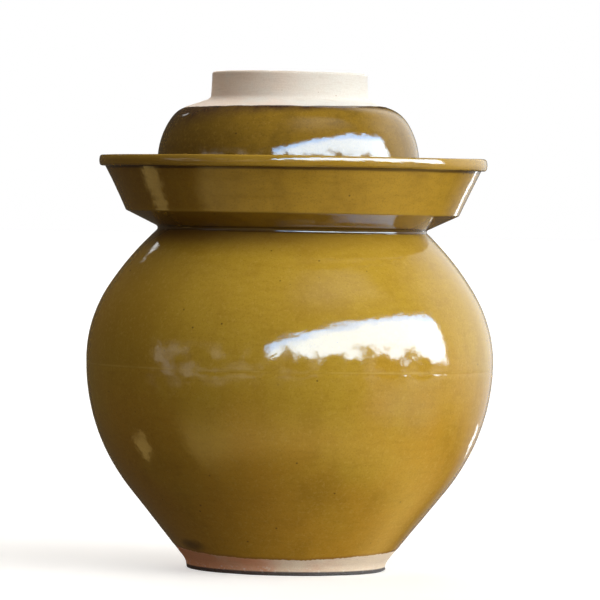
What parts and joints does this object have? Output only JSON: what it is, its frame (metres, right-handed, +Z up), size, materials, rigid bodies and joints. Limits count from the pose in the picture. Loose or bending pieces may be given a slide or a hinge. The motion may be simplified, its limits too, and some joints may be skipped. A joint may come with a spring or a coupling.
{
  "type": "water-seal fermenting crock",
  "caption": "Round-bellied glazed stoneware crock with a water moat round its mouth, a bowl-shaped lid that stands in the moat, a knobbed inner lid and half-moon weight stones.",
  "frame": {"origin": "centre of the foot, on the surface that the crock stands on", "axes": "+Z up along the crock's axis; +X to the right and +Y away from the viewer of the front"},
  "size_m": [0.23, 0.23, 0.2807],
  "materials": {
    "glaze": "glossy amber-olive ash glaze, darker where it pools",
    "bare_clay": "unglazed fired clay, matt",
    "weight_clay": "unglazed stoneware, matt"
  },
  "bodies": {
    "crock": {"crock_lower_half": "glaze", "crock_upper_half": "glaze", "mouth_collar": "glaze", "water_moat": "glaze"},
    "lid": {"lid_bowl": "glaze", "lid_foot_ring": "bare_clay"},
    "inner_lid": {"inner_lid_plate": "glaze", "inner_lid_knob": "glaze"},
    "weight_left": {"weight_stone_left": "weight_clay"},
    "weight_right": {"weight_stone_right": "weight_clay"}
  },
  "joints": [
    {"name": "lid_lift", "type": "slide", "parent": "crock", "child": "lid", "axis": [0, 0, 1], "range_m": [0, 0.15]},
    {"name": "inner_lid_lift", "type": "slide", "parent": "crock", "child": "inner_lid", "axis": [0, 0, 1], "range_m": [0, 0.075]},
    {"name": "weight_left_lift", "type": "slide", "parent": "crock", "child": "weight_left", "axis": [0, 0, 1], "range_m": [0, 0.13]},
    {"name": "weight_right_lift", "type": "slide", "parent": "crock", "child": "weight_right", "axis": [0, 0, 1], "range_m": [0, 0.13]}
  ],
  "couplings": [
    {"joint": "inner_lid_lift", "follows": "lid_lift", "ratio": 0.5}
  ]
}
